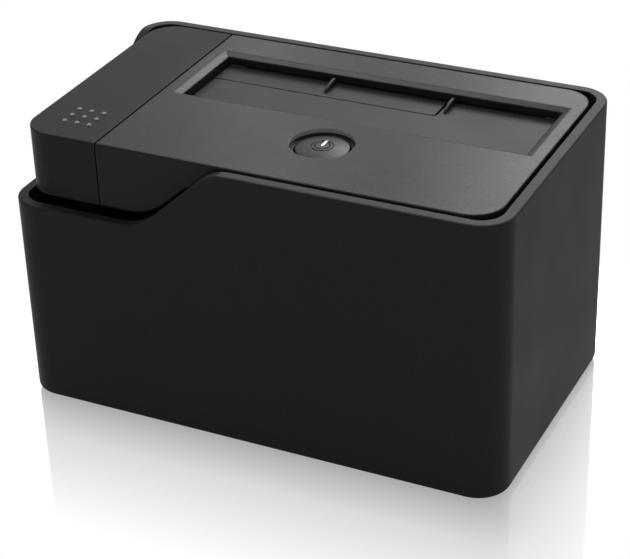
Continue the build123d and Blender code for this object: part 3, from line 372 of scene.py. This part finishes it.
def metal_with_insert(name, find_insert, colour=(0.62, 0.62, 0.63), insert=(0.018, 0.018, 0.018),
                      insert_roughness=0.55):
    """Plated metal with a dull plastic insert where find_insert, called with the finish, is 1."""
    made = Finish(name)
    mask = find_insert(made)
    stain = made.noise(scale=160.0, detail=3.0)
    plating = made.blend(stain, shaded(colour, 0.86), shaded(colour, 1.06))
    made.drive("Base Color", made.blend(mask, plating, insert))
    made.drive("Metallic", made.scalar_math("SUBTRACT", 1.0, mask))
    gloss = made.span_noise(made.noise(scale=900.0, detail=3.0), first=0.20, last=0.36)
    dull = made.scalar_math("MULTIPLY", mask, insert_roughness)
    made.drive("Roughness", made.scalar_math("MAXIMUM", gloss, dull))
    made.bump(stain, depth=0.01 * MM, strength=0.3)
    return made.material


def ribbed_cable(name, pitch=1.0 * MM, groove=(0.10, 0.10, 0.10), rib=(0.36, 0.36, 0.36)):
    """Flat grey cable of parallel cores, its ribs along the cable."""
    made = Finish(name, Specular_IOR_Level=0.35)
    ribs = made.add("TexWave", {"Scale": WAVE_PERIOD / pitch}, bands_direction="X", wave_profile="SIN")
    made.link(made.place, ribs.inputs["Vector"])
    made.drive("Base Color", made.blend(ribs.outputs["Fac"], groove, rib))
    made.drive("Roughness", made.span_noise(made.noise(scale=600.0), first=0.42, last=0.58))
    made.bump(ribs.outputs["Fac"], depth=0.2 * MM, strength=0.8)
    return made.material


def dress(material, *names):
    """Gives CAD nodes their material."""
    for name in names:
        mesh = nodes[name].data
        mesh.materials.clear()
        mesh.materials.append(material)


def middle_of(name):
    """The middle of a CAD node's box."""
    low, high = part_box(name)
    return (low + high) / 2


def dress_housing():
    """The shell, the cover and the eject button, each with a paler spot of painted light: a painted highlight
    on the rim and on the dots, and a painted reflection on the well's wall.
    """
    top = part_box("top_cover")[1].z
    power = middle_of("power_button")

    # Painted highlight: the shell's upper rim is painted paler for the light that it catches
    def painted_rim_highlight(made):
        return made.over_plane(top - RIM_HIGHLIGHT_DEPTH)

    # Painted reflection: the wall of the power button's well is painted pale for the light that it reflects
    def painted_well_reflection(made):
        round_power = made.near_line(power, across=(1.0, 1.0, 0.0), radius=WELL_REFLECTION_RADIUS)
        return made.scalar_math("MULTIPLY", round_power, made.over_plane(top - WELL_REFLECTION_DEPTH))

    # Painted highlights: the eject button's dots are painted paler for the light that they catch
    def painted_dot_highlights(made):
        return made.over_plane(top + DOT_LEAST)

    dress(moulded_plastic("shell_plastic", SHELL_COLOUR, roughness=0.42, specular=0.025,
                          edge_round=EDGE_ROUND,
                          painted_light=PaintedLightPatch(painted_rim_highlight, RIM_HIGHLIGHT_COLOUR, roughness=0.34)), "outer_shell")
    dress(moulded_plastic("cover_plastic", COVER_COLOUR, roughness=0.25, specular=0.065,
                          edge_round=SOFT_EDGE_ROUND,
                          painted_light=PaintedLightPatch(painted_well_reflection, WELL_REFLECTION_COLOUR, roughness=0.14)), "top_cover")
    dress(moulded_plastic("button_plastic", BUTTON_COLOUR, roughness=0.38, specular=0.032,
                          edge_round=EDGE_ROUND,
                          painted_light=PaintedLightPatch(painted_dot_highlights, DOT_HIGHLIGHT_COLOUR, roughness=0.38)), "eject_button")


def dress_flaps_and_base():
    """The two flaps in the slot, the base plate and its feet."""
    dress(moulded_plastic("flap_plastic", COVER_COLOUR, roughness=0.46, specular=0.09,
                          edge_round=EDGE_ROUND / 2), "flap_small", "flap_large")
    dress(moulded_plastic("base_plastic", (0.014, 0.014, 0.014), roughness=0.55, specular=0.3, grain=2000.0),
          "base_plate")
    dress(rubber("foot_rubber", (0.012, 0.012, 0.012)), "rubber_feet")


def dress_power_button():
    """The round cap, and the bar in it that carries the lamp's light up."""
    dress(moulded_plastic("power_plastic", COVER_COLOUR, roughness=0.36, specular=0.10, grain=2200.0),
          "power_button")
    bar_low, bar_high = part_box("power_light_bar")
    lit_middle = ((bar_low.x + bar_high.x) / 2, bar_low.y + LIT_LENGTH / 2, bar_high.z)
    whole_height = cad_box[1].z
    lit_half = (LIT_WIDTH / 2, LIT_LENGTH / 2, whole_height)
    dress(light_guide("light_white", lit_middle, lit_half), "power_light_bar", "power_led")


def dress_inner_plastics():
    """The bay, its lever, the connector, and what is plastic on the boards."""
    dress(moulded_plastic("bay_plastic", (0.006, 0.006, 0.006), roughness=0.5, specular=0.2, grain=1800.0),
          "drive_bay")
    dress(moulded_plastic("lever_plastic", (0.42, 0.41, 0.37), roughness=0.35, specular=0.4, grain=1200.0,
                          speckle=0.05), "eject_lever")
    dress(moulded_plastic("connector_plastic", (0.010, 0.010, 0.010), roughness=0.38, specular=0.4,
                          grain=1500.0), "sata_connector")
    dress(moulded_plastic("chip_plastic", (0.016, 0.016, 0.017), roughness=0.6, specular=0.3, grain=3000.0,
                          speckle=0.25), "bridge_chip", "regulator_chip", "tact_switch", "switch_plunger")
    dress(moulded_plastic("coil_ferrite", (0.060, 0.058, 0.056), roughness=0.7, specular=0.3, grain=1500.0,
                          depth=0.06 * MM, speckle=0.3), "power_inductor")
    dress(moulded_plastic("plug_white", (0.66, 0.63, 0.54), roughness=0.4, specular=0.4, grain=1200.0,
                          speckle=0.04), "cable_plugs")


def dress_metals():
    """Screws and pins, springs, contacts and the cans on the main board."""
    dress(metal("steel", (0.52, 0.53, 0.54), roughness=0.28, stretch=(1.0, 1.0, 6.0)), "base_screws",
          "bay_screws", "cover_screws", "switch_board_screws", "board_screws", "lever_pin", "flap_rod")
    dress(metal("spring_steel", (0.20, 0.20, 0.21), roughness=0.34, scale=1600.0), "eject_springs",
          "flap_small_spring", "flap_large_spring")
    dress(metal("contact_gold", (0.83, 0.60, 0.25), roughness=0.25, scale=1800.0, stretch=(1.0, 1.0, 0.2)),
          "sata_contacts")
    dress(metal("can_aluminium", (0.70, 0.70, 0.71), roughness=0.32, scale=1200.0, stretch=(1.0, 1.0, 0.15)),
          "capacitors", "crystal")


def dress_boards():
    """The two boards and the flat cable between them."""
    dress(circuit_board("circuit_board"), "main_board", "switch_board")
    dress(ribbed_cable("cable_grey"), "switch_cable")


def dress_sockets():
    """The two data sockets with their dark tongues, and the power jack with its bright pin."""
    usb, esata = middle_of("usb_port"), middle_of("esata_port")
    dress(metal_with_insert("socket_metal", lambda made: made.in_box(usb, USB_TONGUE_HALF)), "usb_port")
    dress(metal_with_insert("socket_metal_flat", lambda made: made.in_box(esata, ESATA_TONGUE_HALF)),
          "esata_port")
    jack_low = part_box("dc_jack")[0]
    axis = Vector((middle_of("dc_jack").x, 0.0, jack_low.z + JACK_AXIS_OVER_BOARD))

    def round_the_pin(made):
        pin = made.near_line(axis, across=(1.0, 0.0, 1.0), radius=JACK_PIN_RADIUS)
        return made.scalar_math("SUBTRACT", 1.0, pin)

    dress(metal_with_insert("jack_plastic", round_the_pin, insert=(0.010, 0.010, 0.010)), "dc_jack")


def build_eject_springs():
    """The two coils under the eject button: a copy with its own mesh, hung on the dock's body in place of the
    CAD node, so they stay put.
    """
    node = nodes["eject_springs"]
    coils = bpy.data.objects.new("eject_spring_coils", node.data.copy())
    scene.collection.objects.link(coils)
    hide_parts("eject_springs")
    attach(coils, "dock")
    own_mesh(coils)


def table_finish():
    """Plain white farther out, shaded and mirroring near the dock, and just as it is lit under the dock."""
    made = Finish("table", Base_Color=TABLE_COLOUR, Roughness=TABLE_ROUGHNESS,
                  Specular_IOR_Level=TABLE_SPECULAR)
    half_width, half_depth = cad_box[1].x, cad_box[1].y
    outside = made.past_box((half_width, half_depth, TALL))
    distance = made.vector_math("LENGTH", outside)
    core = (half_width - FOOT_CORNER, half_depth - FOOT_CORNER, TALL)
    past_core = made.vector_math("LENGTH", made.past_box(core))
    in_the_open = made.scalar_math("GREATER_THAN", past_core, FOOT_CORNER - FOOT_INSET)
    shown = made.scalar_math("MULTIPLY", made.seen_ray(), in_the_open)
    whiteness = made.span(distance, 0.0, SHADE_TO, 1 - SHADE_SHARE, 1.0)
    white = made.add("Emission", {"Color": WHITE, "Strength": 1.0})
    plain = made.mixed(made.scalar_math("MULTIPLY", whiteness, shown),
                       made.shader.outputs["BSDF"], white.outputs["Emission"])

    reach = (MIRROR_REACH_SIDE, MIRROR_REACH_FRONT, TALL)
    share_away = made.vector_math("LENGTH", made.vector_math("DIVIDE", outside, reach))
    clearness = made.span(share_away, 0.0, 1.0, MIRROR_SHARE, 0.0)
    camera_ray = made.add("LightPath").outputs["Is Camera Ray"]
    mirror = made.add("BsdfGlossy", {"Color": WHITE, "Roughness": MIRROR_ROUGHNESS})
    surface = made.mixed(made.scalar_math("MULTIPLY", clearness, camera_ray), plain, mirror.outputs["BSDF"])
    made.link(surface, made.output.inputs["Surface"])
    return made.material


def build_table():
    """The table top, a large square just under the feet."""
    signs = ((-1, -1), (1, -1), (1, 1), (-1, 1))
    corners = [(x * TABLE_HALF, y * TABLE_HALF, -TABLE_DROP) for x, y in signs]
    mesh = bpy.data.meshes.new("table")
    mesh.from_pydata(corners, [], [(0, 1, 2, 3)])
    mesh.materials.append(table_finish())
    table = bpy.data.objects.new("table", mesh)
    scene.collection.objects.link(table)


def build_world():
    """White all round: plain white where it is seen, and weaker where it only lights the dock."""
    world = bpy.data.worlds.new("studio")
    scene.world = world
    world.use_nodes = True
    made = Nodes(world.node_tree)
    background = made.tree.nodes["Background"]
    background.inputs["Color"].default_value = WHITE
    strength = made.span(made.seen_ray(), 0.0, 1.0, WORLD_STRENGTH, 1.0)
    made.link(strength, background.inputs["Strength"])


def build_softbox(name, place, aim, size, watts):
    """A lit rectangle that the camera doesn't see."""
    lamp = bpy.data.lights.new(name, "AREA")
    lamp.shape = "RECTANGLE"
    lamp.size, lamp.size_y = size
    lamp.energy = watts
    holder = bpy.data.objects.new(name, lamp)
    holder.location = place
    holder.rotation_euler = (Vector(aim) - Vector(place)).to_track_quat("-Z", "Y").to_euler()
    holder.visible_camera = False
    scene.collection.objects.link(holder)


def build_camera():
    """The photograph's view."""
    forward = Vector((math.sin(CAMERA_YAW) * math.cos(CAMERA_PITCH),
                      math.cos(CAMERA_YAW) * math.cos(CAMERA_PITCH),
                      -math.sin(CAMERA_PITCH)))
    level = Vector((math.cos(CAMERA_YAW), -math.sin(CAMERA_YAW), 0.0))
    upward = level.cross(forward)
    right = math.cos(CAMERA_ROLL) * level + math.sin(CAMERA_ROLL) * upward
    above = -math.sin(CAMERA_ROLL) * level + math.cos(CAMERA_ROLL) * upward
    lens = bpy.data.cameras.new("camera")
    lens.sensor_width = SENSOR_WIDTH
    lens.lens = LENS
    lens.clip_start = CLIP_START
    camera = bpy.data.objects.new("camera", lens)
    scene.collection.objects.link(camera)
    turned = Matrix((right, above, -forward)).transposed().to_4x4()
    camera.matrix_world = Matrix.Translation(CAMERA_PLACE) @ turned
    scene.camera = camera


dress_housing()
dress_flaps_and_base()
dress_power_button()
dress_inner_plastics()
dress_metals()
dress_boards()
dress_sockets()
build_eject_springs()
build_table()
build_world()
for softbox_name, softbox_values in SOFTBOXES.items():
    build_softbox(softbox_name, *softbox_values)
build_camera()
scene.view_settings.view_transform = "Standard"
